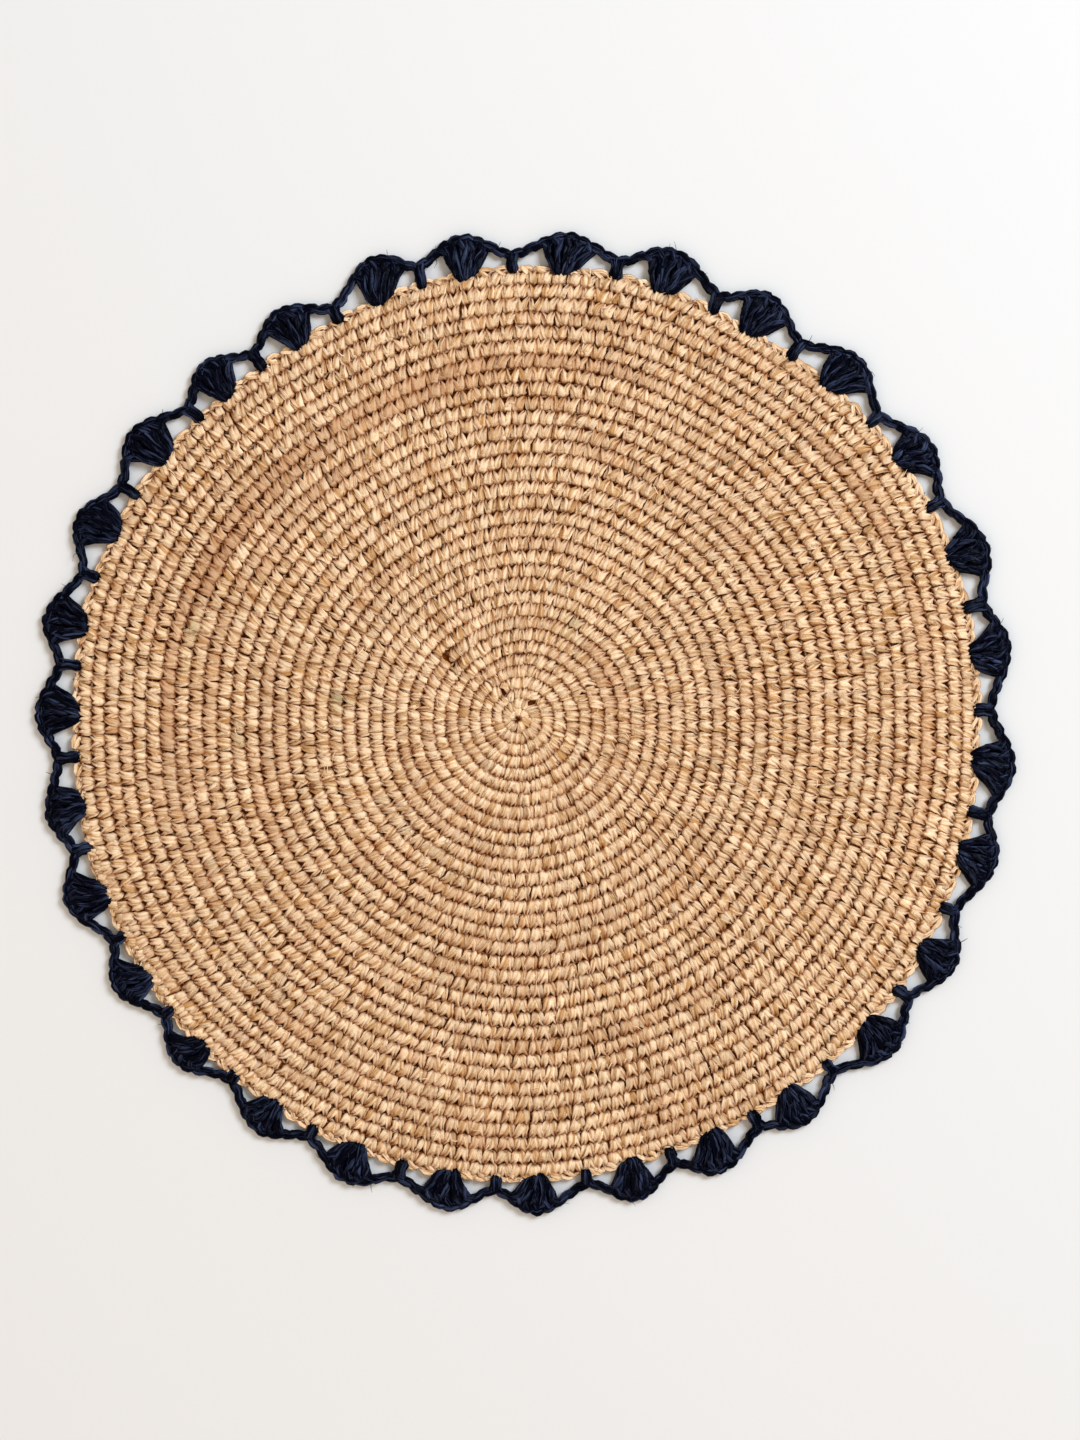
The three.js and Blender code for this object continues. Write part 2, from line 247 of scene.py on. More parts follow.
natural = raffia("natural_leaf", pale=(1.0, 0.74, 0.48), deep=(0.58, 0.31, 0.115),
                 reddish=(0.60, 0.32, 0.16), shade=(0.27, 0.060, 0.001),
                 pale_from=0.54, crumple=2.2, roughness=0.45, gleam=0.08)
navy = raffia("navy_leaf", pale=(0.044, 0.058, 0.118), deep=(0.0005, 0.0009, 0.005),
              reddish=(0.02, 0.022, 0.04), shade=(0.0001, 0.0002, 0.0008),
              pale_from=0.64, crumple=0.9, roughness=0.15, gleam=0.035)
print("finishes", natural.name, navy.name)

# %% [markdown]
# The rim and the spiral
#
# The disc isn't a true circle, and its first round lies a little off the middle of the rim. The packed
# model has the same rim, given as how far it lies outside its mean radius at every 15 degrees. The yarn's
# place on the spiral is counted in turns from the start, and the way out from a round in rounds. Angles are
# degrees counter-clockwise from +X, and the yarn runs clockwise. At a few places near the middle a stitch
# was left loose, and a small hole pushes the yarn round it apart.

# %% The uneven rim
ROUNDS = 34
RIM_RADIUS = 177.0
RIM_STEP = 15  # degrees
RIM_UNEVENNESS = np.array([-1.6, 0.3, 1.4, 0.7, -0.4, 1.5, 1.2, -0.5, -3.1, -2.0, 0.2, 0.8,
                           -0.7, 0.3, 0.7, 1.2, 0.8, 0.6, 0.0, -2.0, -2.0, -0.8, 0.2, -0.6])
MIDDLE = np.array([1.041, -0.676])  # of the disc, from the middle of the whole outline


def smooth(share):
    """A soft step from 0 to 1."""
    share = np.clip(share, 0, 1)
    return share * share * (3 - 2 * share)


def rim_radius(angle):
    """Radius of the disc's rim, through the measured places by a smooth curve."""
    place = np.mod(angle, 360) / RIM_STEP
    first = np.floor(place).astype(int)
    part = place - first
    a, b, c, d = (RIM_UNEVENNESS[(first + step) % len(RIM_UNEVENNESS)] for step in (-1, 0, 1, 2))
    bend = 2 * a - 5 * b + 4 * c - d + part * (3 * (b - c) + d - a)
    return RIM_RADIUS + b + 0.5 * part * (c - a + part * bend)


def polar(angle, radius):
    """Points on the table, from angles and radii about the disc's middle."""
    turn = np.radians(angle)
    return np.stack([radius * np.cos(turn), radius * np.sin(turn)], -1) + MIDDLE


print(f"rim radius {rim_radius(np.arange(360)).min():.1f} to {rim_radius(np.arange(360)).max():.1f} mm")

# %% The spiral of rounds
END_ANGLE = 192.0  # where the yarn runs out at the rim
END_TAPER = 50.0  # degrees over which the last round narrows to nothing
RING_SHIFT = np.array([-3.8, 3.1])
MIDDLE_TIGHTNESS = 0.18  # share by which the innermost rounds are narrower than the average
CHAIN_WIDTH = 2.2  # flat chain outside the last round
RING_ROUNDS = 1.5  # what the ring in the middle takes up, counted in rounds
LOOSE_PLACES = [
    # small holes where a stitch was left loose: across, up, and how far it pushes the others away
    (-7.8, 12.3, 2.0), (2.7, 8.5, 1.7), (-30.2, 25.9, 1.6), (-16.7, 28.6, 1.3), (-27.1, 23.6, 1.1),
    (-39.9, 6.5, 1.4), (-38.4, 11.2, 1.0), (21.3, 12.0, 1.2), (25.2, 15.1, 1.2), (23.6, -13.2, 1.2)]
LOOSE_REACH = 2.4


def unit(vectors):
    """The same directions, one long."""
    return vectors / np.maximum(np.linalg.norm(vectors, axis=-1, keepdims=True), 1e-9)


def last_width(turn):
    """How wide the last round is, as a share, at this share of a turn."""
    return smooth((1 - np.mod(turn, 1)) * 360 / END_TAPER)


def on_spiral(turn, out):
    """Points on the table at a place along the yarn, and so many rounds out from it."""
    edge = ROUNDS - RING_ROUNDS + np.mod(turn, 1) + last_width(turn)
    part = (turn + out) / edge
    outward = part * (1 - MIDDLE_TIGHTNESS * (1 - part) ** 2)
    angle = END_ANGLE - 360 * turn
    table = polar(angle, outward * (rim_radius(angle) - CHAIN_WIDTH))
    table = table + RING_SHIFT * (1 - part[..., None]) ** 3
    for across, up, opening in LOOSE_PLACES:
        away = table - (across, up)
        nearness = np.exp(-(away ** 2).sum(-1, keepdims=True) / LOOSE_REACH ** 2)
        table = table + opening * unit(away) * nearness
    return table


pitch = (RIM_RADIUS - CHAIN_WIDTH) / (ROUNDS - 0.5)
print(f"rounds are {pitch:.2f} mm apart on average")

# %% [markdown]
# One strand
#
# All of the crochet is made from one simple form: a strand with a pleated top, drawn out along a path. A
# circle of seven corners is pushed into the pleated section and extruded five times, which gives 37 faces,
# few enough to be repeated thousands of times. Plainer and shorter strands do for what is hardly seen.
# The corners are then carried to every path at once as arrays, and the copies are joined into one mesh.
# Separate objects would be far too many.

# %% The pleated strand, drawn once
PLEATED_SECTION = [(-1.0, -0.1), (-0.6, 0.8), (-0.1, 0.3), (0.45, 1.0), (1.0, 0.0),
                   (0.55, -0.8), (-0.55, -0.8)]
PLAIN_SECTION = [(-1.0, 0.0), (0.0, 1.0), (1.0, 0.0), (0.6, -0.8), (-0.6, -0.8)]


def strand_form(section, spans):
    """A closed strand down -Z: a section of corners extruded so many times."""
    form = bmesh.new()
    made = bmesh.ops.create_circle(form, cap_ends=True, segments=len(section), radius=1)
    for corner, (across, up) in zip(made["verts"], section):
        corner.co = (across, up, 0)
    end = [*form.verts, *form.edges, *form.faces]
    for _ in range(spans):
        end = bmesh.ops.extrude_face_region(form, geom=end)["geom"]
        corners = [part for part in end if isinstance(part, bmesh.types.BMVert)]
        bmesh.ops.translate(form, verts=corners, vec=(0, 0, -1))
    bmesh.ops.recalc_face_normals(form, faces=form.faces)
    mesh = bpy.data.meshes.new("strand_form")
    form.to_mesh(mesh)
    form.free()
    return mesh


pleated = strand_form(PLEATED_SECTION, spans=5)
plain = strand_form(PLAIN_SECTION, spans=3)
short = strand_form(PLAIN_SECTION, spans=2)
print("faces in a strand", len(pleated.polygons), "and in a plain one", len(plain.polygons))

# %% Meshes filled from arrays
chance = np.random.default_rng(33)


def numbers(owner, field, width=1):
    """One field of all of a mesh's parts, as an array."""
    found = np.empty(len(owner) * width, np.float32 if field == "co" else np.int32)
    owner.foreach_get(field, found)
    return found.reshape(-1, width) if width > 1 else found


def join_copies(name, form, points):
    """One mesh of many copies of a form, each with points of its own."""
    count, corners, _ = points.shape
    starts = numbers(form.polygons, "loop_start")
    order = numbers(form.loops, "vertex_index")
    copies = np.arange(count)[:, None]
    mesh = bpy.data.meshes.new(name)
    mesh.vertices.add(count * corners)
    mesh.vertices.foreach_set("co", (points * MM).astype(np.float32).ravel())
    mesh.loops.add(count * len(order))
    mesh.loops.foreach_set("vertex_index", (copies * corners + order).astype(np.int32).ravel())
    mesh.polygons.add(count * len(starts))
    mesh.polygons.foreach_set("loop_start", (copies * len(order) + starts).astype(np.int32).ravel())
    mesh.update(calc_edges=True)
    mesh.shade_smooth()
    return mesh


def store(mesh, **values):
    """Keeps named values at the points of a mesh, for its finish to read."""
    for name, value in values.items():
        stored = mesh.attributes.new(name, "FLOAT", "POINT")
        stored.data.foreach_set("value", value.astype(np.float32).ravel())


def show(name, mesh, finish):
    """Puts a finished mesh in the scene, on the body that carries everything."""
    piece = bpy.data.objects.new(name, mesh)
    mesh.materials.append(finish)
    bpy.context.scene.collection.objects.link(piece)
    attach(piece, "root")
    faces = sum(max(1, polygon.loop_total - 2) for polygon in mesh.polygons)
    print(f"{name}: {faces} triangles")
    return piece


print("corners of a pleated strand", len(numbers(pleated.vertices, "co", 3)))

# %% [markdown]
# Where a strand is dark
#
# Shade is painted into the colour of the strands. The tops of the strands are pale. Their sides are painted
# dark where the neighbours shade them, and so are their ends, which dive under the next round, and the
# slits of a torn end. A stitch gets more painted shade still where it lies deep down in the cloth. What
# comes through to the back is left without it and is pale again.

# %% Shade on a strand
# all of these paint shade into the colour where the strands hide one another
ARCHED, AS_DRAWN = 0.55, 0.45  # how far a leg's pleats are rounded over at its foot
TOP_FROM = 0.2  # level above which a corner belongs to the pleats
OPENS_FROM = 0.4  # share of a leg's length past which its pleats part
PARTING, PARTING_DROP = 2.5, 1.5  # parted pleats are so much steeper, and lowered to keep their ridges
SIDE_FROM, SIDE_FADE = 0.7, 1.3  # painted shade: a corner is pale above the first level, and painted dark so far below it
JOINED_LEAST, FREE_SIDE = 0.15, 1.3  # painted shade on a side that grows into its neighbour, and on the other
TORN_ENDS = [0.9, 0.3, 0, 0, 0.25, 0.9]  # painted shade at the six rings of a leg
# painted shade at a plain strand's first end, and in the slits of a torn end
FIRST_END = 0.5
SLIT_SHADE = 0.8
SINKING = 2.4  # millimetres over which the painted shade on a sunk strand deepens
BACK_FROM, BACK_FADE = 0.3, 0.5  # painted shade sets in above the first height, in mm, and is full so far above it


def parted(corners, ring):
    """Levels of a leg's corners, rounded at its foot and parted towards its end, and how far parted."""
    level = corners[:, 1]
    on_top = level > TOP_FROM
    share = smooth((ring / ring.max() - OPENS_FROM) / (1 - OPENS_FROM))
    opened = np.where(on_top, share, 0)
    arched = ARCHED * (1 - np.abs(corners[:, 0]) ** 3) + AS_DRAWN * level
    deepened = PARTING * level - PARTING_DROP
    return np.where(on_top, arched * (1 - opened) + deepened * opened, level), opened


def shade_on(corners, ring, opened, height, is_leg, joined, sunk, shading):
    """How far each corner of each strand is in the shade, from 0 to 1."""
    facing = corners[:, 1] if is_leg else np.abs(corners[:, 1])  # plainer strands also show from below
    at_side = smooth((SIDE_FROM - facing) / SIDE_FADE)
    if joined:
        grown_in = np.clip(ring / 2 - 1, JOINED_LEAST, 1)
        at_side = at_side * np.where(corners[:, 0] * joined > 0, grown_in, FREE_SIDE)
    at_end = np.choose(ring, TORN_ENDS) if is_leg else np.where(ring == 0, FIRST_END, 0)
    shade = at_side + at_end + SLIT_SHADE * opened * (1 - corners[:, 1])
    shade = np.clip(shading * shade + smooth((sunk - height) / SINKING), 0, 1)
    return shade * smooth((height - BACK_FROM) / BACK_FADE)


section = np.array(PLEATED_SECTION)
torn_end = np.full(len(section), len(TORN_ENDS) - 1)
print("levels across a torn end", parted(section, torn_end)[0].round(2))

# %% Strands laid along paths and joined
STEADYING = 0.4  # how far a strand's sides follow its whole run, not only the bend at each point
TABLE_GAP = 0.05
CENTIMETRE = 10  # in millimetres, the unit of the strand map
MAP_SPREAD = 40  # strands start anywhere on so many centimetres of it
TORN_LEVEL, TORN_CHANCE = 0.3, 0.25  # corners above this level are torn outwards, the others inwards


def raised(table, height):
    """Paths in space, from points on the table and the height of each."""
    return np.concatenate([table, np.broadcast_to(height, table.shape[:-1])[..., None]], -1)


def lay_strands(name, form, paths, widths, heights, light, reddish, finish, roll=0.0, uneven=0.12,
                teeth=0.0, joined=0, sunk=0.0, shading=1.0):
    """One mesh of strands: paths in millimetres, a width and height at each point, and a roll of each.

    Teeth is how far the outer end is torn, which makes a leg of the strand. Joined is the side that grows
    into its neighbour, sunk is the height below which shade from the others is painted on a strand, and
    shading is how dark the shade painted on its own sides is.
    """
    count, rings, _ = paths.shape
    widths = np.broadcast_to(widths, (count, rings))
    heights = np.broadcast_to(heights, (count, rings))
    corners = numbers(form.vertices, "co", 3)
    ring = np.rint(-corners[:, 2]).astype(int)
    _, column = np.unique(corners[:, :2].round(3), axis=0, return_inverse=True)
    column = column.reshape(-1)
    level, opened = parted(corners, ring) if teeth else (corners[:, 1], np.zeros(len(ring)))
    across = corners[:, 0] + chance.normal(0, uneven, (count, column.max() + 1))[:, column]
    up = level + chance.normal(0, uneven, (count, column.max() + 1))[:, column]
    across = across + chance.normal(0, uneven / 2, across.shape)
    up = up + chance.normal(0, uneven, up.shape)

    along = np.gradient(paths, axis=1)
    onward = along[..., :2] + STEADYING * (paths[:, -1:, :2] - paths[:, :1, :2]) / rings
    side = unit(np.stack([onward[..., 1], -onward[..., 0], np.zeros(onward.shape[:2])], -1))
    above = np.cross(side, unit(along))
    turned = np.broadcast_to(roll, (count,))[:, None]
    reach = across * widths[:, ring] / 2
    rise = up * heights[:, ring] / 2
    reach, rise = (reach * np.cos(turned) + rise * np.sin(turned),
                   rise * np.cos(turned) - reach * np.sin(turned))
    points = paths[:, ring] + reach[..., None] * side[:, ring] + rise[..., None] * above[:, ring]
    torn = up - TORN_LEVEL + chance.normal(0, TORN_CHANCE, (count, column.max() + 1))[:, column]
    points += unit(along)[:, ring] * np.where(ring == rings - 1, teeth * torn, 0)[..., None]
    points[..., 2] = np.maximum(points[..., 2], TABLE_GAP)
    mesh = join_copies(name, form, points)

    steps = np.linalg.norm(np.diff(paths, axis=1), axis=-1)
    length = np.concatenate([np.zeros((count, 1)), np.cumsum(steps, 1)], 1)
    place = np.stack([across * widths[:, ring] / 2, length[:, ring]], -1) / CENTIMETRE
    place += chance.uniform(0, MAP_SPREAD, (count, 1, 2))
    strand_map = mesh.uv_layers.new(name="strand")
    order = numbers(form.loops, "vertex_index")
    strand_map.data.foreach_set("uv", place[:, order].astype(np.float32).ravel())
    every_point = np.ones((count, len(corners)))
    store(mesh, light=every_point * np.reshape(light, (-1, 1)),
          reddish=every_point * np.reshape(reddish, (-1, 1)),
          tucked=shade_on(corners, ring, opened, points[..., 2], bool(teeth), joined, sunk, shading))
    return show(name, mesh, finish)


print(f"strands stay at least {TABLE_GAP} mm above the table")

# %% [markdown]
# The cloth
#
# Under the raised legs of the stitches lies the body of the crochet. Its top shows only between them and is
# painted as dark shade there, and its back is a pale ground with a little painted shade. It is one thin
# sheet. A profile that runs out over the top and back under the bottom is spun round the middle, which
# makes a closed sheet with no seam, and each point is then drawn out to the uneven rim.

# %% A thin spun sheet
SHEET_STEPS = 120
SHEET_RINGS = 12
CLOTH_TOP, CLOTH_BOTTOM = 1.7, 0.7
SHEET_INSET = 1.2  # the chained rim hides the edge of the sheet
FLOOR_LOOK = {"light": 0.4, "reddish": 0.5, "tucked": 1.0}  # painted shade: the top between the stitches is coloured wholly as shade
# the back keeps a little painted shade
BACK_LOOK = {"light": 0.8, "reddish": 0.15, "tucked": 0.3}

sheet_form = bmesh.new()
outwards = np.linspace(0, 1, SHEET_RINGS)
profile = [sheet_form.verts.new((share, 0, CLOTH_TOP)) for share in outwards]
profile += [sheet_form.verts.new((share, 0, CLOTH_BOTTOM)) for share in outwards[::-1]]
edges = [sheet_form.edges.new(pair) for pair in zip(profile, profile[1:])]
bmesh.ops.spin(sheet_form, geom=profile + edges, cent=(0, 0, 0), axis=(0, 0, 1), angle=2 * math.pi,
               steps=SHEET_STEPS, use_merge=True)
bmesh.ops.remove_doubles(sheet_form, verts=sheet_form.verts, dist=1e-5)
bmesh.ops.recalc_face_normals(sheet_form, faces=sheet_form.faces)
cloth_mesh = bpy.data.meshes.new("mat_cloth")
sheet_form.to_mesh(cloth_mesh)
sheet_form.free()

cloth_points = numbers(cloth_mesh.vertices, "co", 3).astype(float)
angles = np.degrees(np.arctan2(cloth_points[:, 1], cloth_points[:, 0]))
cloth_points[:, :2] *= (rim_radius(angles) - SHEET_INSET)[:, None]
cloth_points[:, :2] += MIDDLE
cloth_mesh.vertices.foreach_set("co", (cloth_points * MM).astype(np.float32).ravel())
cloth_mesh.shade_smooth()
on_top = cloth_points[:, 2] > (CLOTH_TOP + CLOTH_BOTTOM) / 2
store(cloth_mesh, **{look: np.where(on_top, FLOOR_LOOK[look], BACK_LOOK[look]) for look in FLOOR_LOOK})
cloth_map = cloth_mesh.uv_layers.new(name="strand")
corner_points = cloth_points[numbers(cloth_mesh.loops, "vertex_index")]
cloth_map.data.foreach_set("uv", (corner_points[:, :2] / CENTIMETRE).astype(np.float32).ravel())
cloth = show("mat_cloth", cloth_mesh, natural)
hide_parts("mat")

# %% [markdown]
# The stitches
#
# A single crochet shows two legs. They come up as one rounded tip in front of the round before, spread
# as they run outwards, and dive under the tip of the next round. Six more stitches fit in each round than
# in the last, so 34 rounds hold 3570. The maker's pull changes along the yarn, so lean, length and
# width drift slowly from stitch to stitch, with a little chance on top. Some lengths of the yarn are
# reddish, and a few spots are weathered.

# %% Where every stitch sits on the yarn
INCREASES = 6
FORWARD = 0.12  # a stitch rises out of the V of one in the round before, a little further on
SETTLING = 0.6  # how far towards there it slides, where the two rounds are out of step
STRAYING = 0.12  # of a stitch's width
STEADINESS = 3  # how much a round evens out what its stitches stray
STITCH_WIDTH = 5.6
LEAST_ROOM, MOST_ROOM = 0.72, 1.25
LEAST_TURN = 0.8  # the first stitches are spaced as if they stood this far along the yarn
RING_RADIUS, RING_FADE = 0.75, 0.6  # in rounds
LEAST_WIDTH = 0.15  # of the last round, where it ends
per_round = INCREASES * (np.arange(ROUNDS) + 1)
stitch_round = np.repeat(np.arange(ROUNDS), per_round)


def seated(turn, before):
    """Slides one round's stitches along the yarn towards the openings of the round before."""
    place = np.interp(turn - 1, before, np.arange(len(before))) - FORWARD
    astray = place - np.rint(place)
    return turn - SETTLING * np.sin(2 * np.pi * astray) / (2 * np.pi) / len(turn)


rows = [(np.arange(per_round[0]) + 0.5) / per_round[0]]
for index, count in enumerate(per_round[1:], start=1):
    wander = np.cumsum(chance.normal(0, STRAYING, count))
    wander = wander * np.sin(np.pi * np.arange(count) / count) / STEADINESS
    turn = index + (np.arange(count) + chance.uniform(0.1, 0.9) + wander) / count
    rows.append(seated(turn, rows[-1]))
stitch_turn = np.concatenate(rows)
stitches = len(stitch_turn)
stitch_turn = np.sort(stitch_turn + chance.normal(0, STRAYING, stitches) / per_round[stitch_round])
for _ in range(2):  # a stitch crowds out into any wide gap beside it
    stitch_turn[1:-1] = 0.5 * stitch_turn[1:-1] + 0.25 * (stitch_turn[:-2] + stitch_turn[2:])
stitch_radius = np.maximum(stitch_turn, LEAST_TURN) * pitch
room = np.gradient(stitch_turn) * 2 * np.pi * stitch_radius / STITCH_WIDTH
room = np.clip(room, LEAST_ROOM, MOST_ROOM)  # how much of a stitch's width there is for it
ring_room = RING_RADIUS * pitch * np.exp(-stitch_turn / RING_FADE)  # the first stitches round their ring
in_last = stitch_round == ROUNDS - 1
narrowed = np.where(in_last, np.maximum(last_width(stitch_turn), LEAST_WIDTH), 1.0)
tapered = (narrowed - 1) / 2  # the last round's stitches move in as it narrows
print("stitches", stitches)


def drift(every, spread, rough=0.0):
    """A value that wanders along the yarn, with a new aim every so many stitches."""
    place = np.arange(stitches) / every
    first = place.astype(int)
    aims = chance.uniform(-spread, spread, first.max() + 2)
    part = smooth(place - first)
    return aims[first] * (1 - part) + aims[first + 1] * part + chance.normal(0, rough, stitches)


def beside(across, out):
    """Points on the table near every stitch, by millimetres along the yarn and out from it."""
    turn = stitch_turn[:, None] + across / (2 * np.pi * stitch_radius[:, None])
    return on_spiral(turn, tapered[:, None] + out / pitch)


# %% How every stitch was pulled
LEAN = 5  # degrees, forwards along the yarn
LEAN_ROUNDS = 9  # over which the lean grows from none in the middle
lean = np.radians((LEAN + drift(every=9, spread=12, rough=6)) * smooth(stitch_turn / LEAN_ROUNDS))
size = 1 + drift(every=14, spread=0.06, rough=0.05)
lift = drift(every=7, spread=0.12, rough=0.12)
stitch_place = on_spiral(stitch_turn, 0)
print(f"lean {np.degrees(lean.min()):.0f} to {np.degrees(lean.max()):.0f} degrees")

# %% The tones of the yarn
UPPER_RIGHT = (0.77, 0.64)  # painted light: the mat is painted a little paler and cooler towards the window light
USUAL_LIGHT, PAINTED_LIGHT_RISE = 0.97, 0.03
RED_BIAS, PAINTED_COOLING = 0.06, 0.10
RED_LENGTHS = [
    # where on the yarn each starts and ends, in turns, and how reddish it is
    (26.08, 26.28, 0.5), (27.0, 27.36, 0.55), (24.0, 24.2, 0.3), (30.38, 30.6, 0.4),
    (21.3, 21.5, 0.25), (17.6, 17.9, 0.2), (8.2, 8.9, 0.25)]
RED_ONSET = 30  # how sharply a reddish length starts and ends
GREY_PLACES = [
    # across, up and radius of each weathered spot
    (-113, -5.5, 3), (-72.4, 8.5, 4), (-129, 36, 4), (-132, 24, 3), (18.2, 37.1, 6)]
GREYNESS = 0.8
SPOT_EDGE = 1.4  # of its radius
towards = stitch_place @ UPPER_RIGHT / RIM_RADIUS
# painted light: the stitches get lighter and less red towards the window light
stitch_light = USUAL_LIGHT + drift(every=11, spread=0.05, rough=0.03) + PAINTED_LIGHT_RISE * towards
stitch_red = np.clip(drift(every=7, spread=0.35, rough=0.08) - RED_BIAS - PAINTED_COOLING * towards, 0, 1)
for start, end, amount in RED_LENGTHS:
    inside = smooth((stitch_turn - start) * RED_ONSET) * smooth((end - stitch_turn) * RED_ONSET)
    stitch_red = np.clip(stitch_red + amount * inside, 0, 1)
for across, up, spread in GREY_PLACES:
    away = np.linalg.norm(stitch_place - (across, up), axis=1)
    spotted = smooth(SPOT_EDGE - away / spread) * chance.uniform(0.3, 1, stitches)
    stitch_red = stitch_red - GREYNESS * spotted
print("weathered stitches", (stitch_red < 0).sum())

# %% Two legs for each stitch
LEG_OUT = np.array([-1.6, -2.3, -1.5, 0.3, 1.9, 3.3])  # outwards from the stitch's middle
LEG_HEIGHT = np.array([0.6, 2.7, 4.0, 3.95, 3.3, 2.3])
LEFT_ACROSS = np.array([-0.6, -0.8, -1.1, -1.5, -1.95, -2.2])
LEFT_WIDTH = np.array([1.9, 3.2, 3.7, 3.2, 2.4, 1.1])
RIGHT_ACROSS = np.array([0.6, 0.7, 0.85, 1.4, 2.2, 3.0])
RIGHT_WIDTH = np.array([2.0, 3.4, 4.0, 3.6, 2.7, 1.2])
LEG_THICKNESS = np.array([1.6, 2.1, 2.3, 2.1, 1.7, 1.1])
LEG_LOOSENESS = np.array([0.7, 0.7, 0.8, 1.0, 1.3, 1.6])  # the free end strays more than the foot
LEG_ROLL = np.radians(13)  # each leg turns down to its own side, so that a stitch is rounded
CLOSED_TO, CLOSED_FADE = 5, 7  # rounds in the middle whose tight stitches don't open their V
CLOSED_ACROSS = np.array([0, 0, 0, 0.1, 0.25, 0.35])  # share that such a leg lies closer in
CLOSED_WIDTH = np.array([0.1, 0.1, 0.05, 0.15, 0.3, 0.7])  # share that it is broader
FOOT_OUT = -2.2  # a leg leans about this point
LEAN_SHARE = 0.8
LEG_BACK = 0.25  # both legs lie this far back along the yarn
RIM_DROP, DROP_FROM, DROP_FADE = 0.75, -1.2, 3  # the last round ends lower, under the chain
# painted shade deepens on a leg below this height, in mm
SHADED_BELOW = 4.1
closed = (1 - smooth((stitch_turn - CLOSED_TO) / CLOSED_FADE))[:, None]


def stitch_leg(across, width, over):
    """Paths, widths and thicknesses of one leg of every stitch, so many mm over its usual height."""
    shape = (stitches, len(LEG_OUT))
    reach = 1 + chance.normal(0, 0.1, (stitches, 1)) * (LEG_OUT > 1)
    outwards = LEG_OUT * size[:, None] * reach + chance.normal(0, 0.15, (stitches, 1))
    leaning = np.tan(lean)[:, None] * (outwards - FOOT_OUT) * LEAN_SHARE
    sideways = across * (1 - CLOSED_ACROSS * closed) + leaning - LEG_BACK
    sideways = sideways * room[:, None] + chance.normal(0, 0.14, shape) * LEG_LOOSENESS
    out = np.where(outwards > 0, outwards * narrowed[:, None], outwards) + ring_room[:, None]
    table = beside(sideways, out)
    height = LEG_HEIGHT + over + lift[:, None] + chance.normal(0, 0.12, shape) * LEG_LOOSENESS
    rim_drop = smooth((outwards - DROP_FROM) / DROP_FADE) * np.where(in_last, RIM_DROP, 0)[:, None]
    widths = width * (1 + CLOSED_WIDTH * closed) * room[:, None] * chance.normal(1, 0.07, (stitches, 1))
    widths = widths * chance.normal(1, 0.05, shape)
    return raised(table, height - rim_drop), widths, LEG_THICKNESS * chance.normal(1, 0.06, shape)


print(f"a leg reaches {LEG_OUT.max() - LEG_OUT.min():.1f} mm outwards, in rounds {pitch:.1f} mm apart")

# %% The legs laid in three groups of rounds
left_leg = stitch_leg(LEFT_ACROSS, LEFT_WIDTH, over=-0.1)
right_leg = stitch_leg(RIGHT_ACROSS, RIGHT_WIDTH, over=0.15)
ROUND_GROUPS = [("inner", 0, 20), ("middle", 20, 28), ("outer", 28, 34)]
for name, first, last in ROUND_GROUPS:
    chosen = (stitch_round >= first) & (stitch_round < last)
    count = chosen.sum()
    for leg, (paths, widths, heights), roll, joined in (("left_legs", left_leg, -LEG_ROLL, 1),
                                                        ("right_legs", right_leg, LEG_ROLL, -1)):
        lay_strands(
            f"{leg}_{name}", pleated, paths[chosen], widths[chosen], heights[chosen],
            stitch_light[chosen] * chance.normal(1, 0.03, count), stitch_red[chosen], natural,
            roll=roll + chance.normal(0, 0.12, count), uneven=0.15, teeth=0.7, joined=joined,
            sunk=SHADED_BELOW)

# %% [markdown]
# The loops between the rounds
#
# Where the two legs part, the loop that the next round was worked into shows as a thread across the V,
# painted darker for the shade in there.

# %% A loop across every V
LOOP_ACROSS = np.array([-2.6, -0.9, 0.9, 2.6])
LOOP_OUT = np.array([2.1, 2.8, 2.9, 2.3])
LOOP_HEIGHT = np.array([2.0, 2.45, 2.45, 2.0])
LOOP_WIDTH = np.array([1.1, 1.5, 1.5, 1.1])
LOOP_THICKNESS = 1.2
LOOP_SHADED_TONE = 0.72  # painted shade: a loop's tone is darkened to this share of its stitch's own, for the shade in the V
# painted shade deepens on a loop below this height, in mm
LOOP_SHADED_BELOW = 3.4
loop_across = (LOOP_ACROSS + chance.normal(0, 0.3, (stitches, 4))) * room[:, None]
loop_out = (LOOP_OUT + chance.normal(0, 0.25, (stitches, 4))) * narrowed[:, None] + ring_room[:, None]
loop_height = LOOP_HEIGHT + chance.normal(0, 0.15, (stitches, 1))
loops = lay_strands("stitch_loops", plain, raised(beside(loop_across, loop_out), loop_height),
                    LOOP_WIDTH * chance.normal(1, 0.15, (stitches, 1)), LOOP_THICKNESS,
                    stitch_light * LOOP_SHADED_TONE, stitch_red, natural, sunk=LOOP_SHADED_BELOW)

# %% [markdown]
# The back of the work
#
# The photograph doesn't show the underside. Single crochet worked in a spiral shows one flat bar to each
# stitch there. A plain, slanting strand for each is enough to see it by.

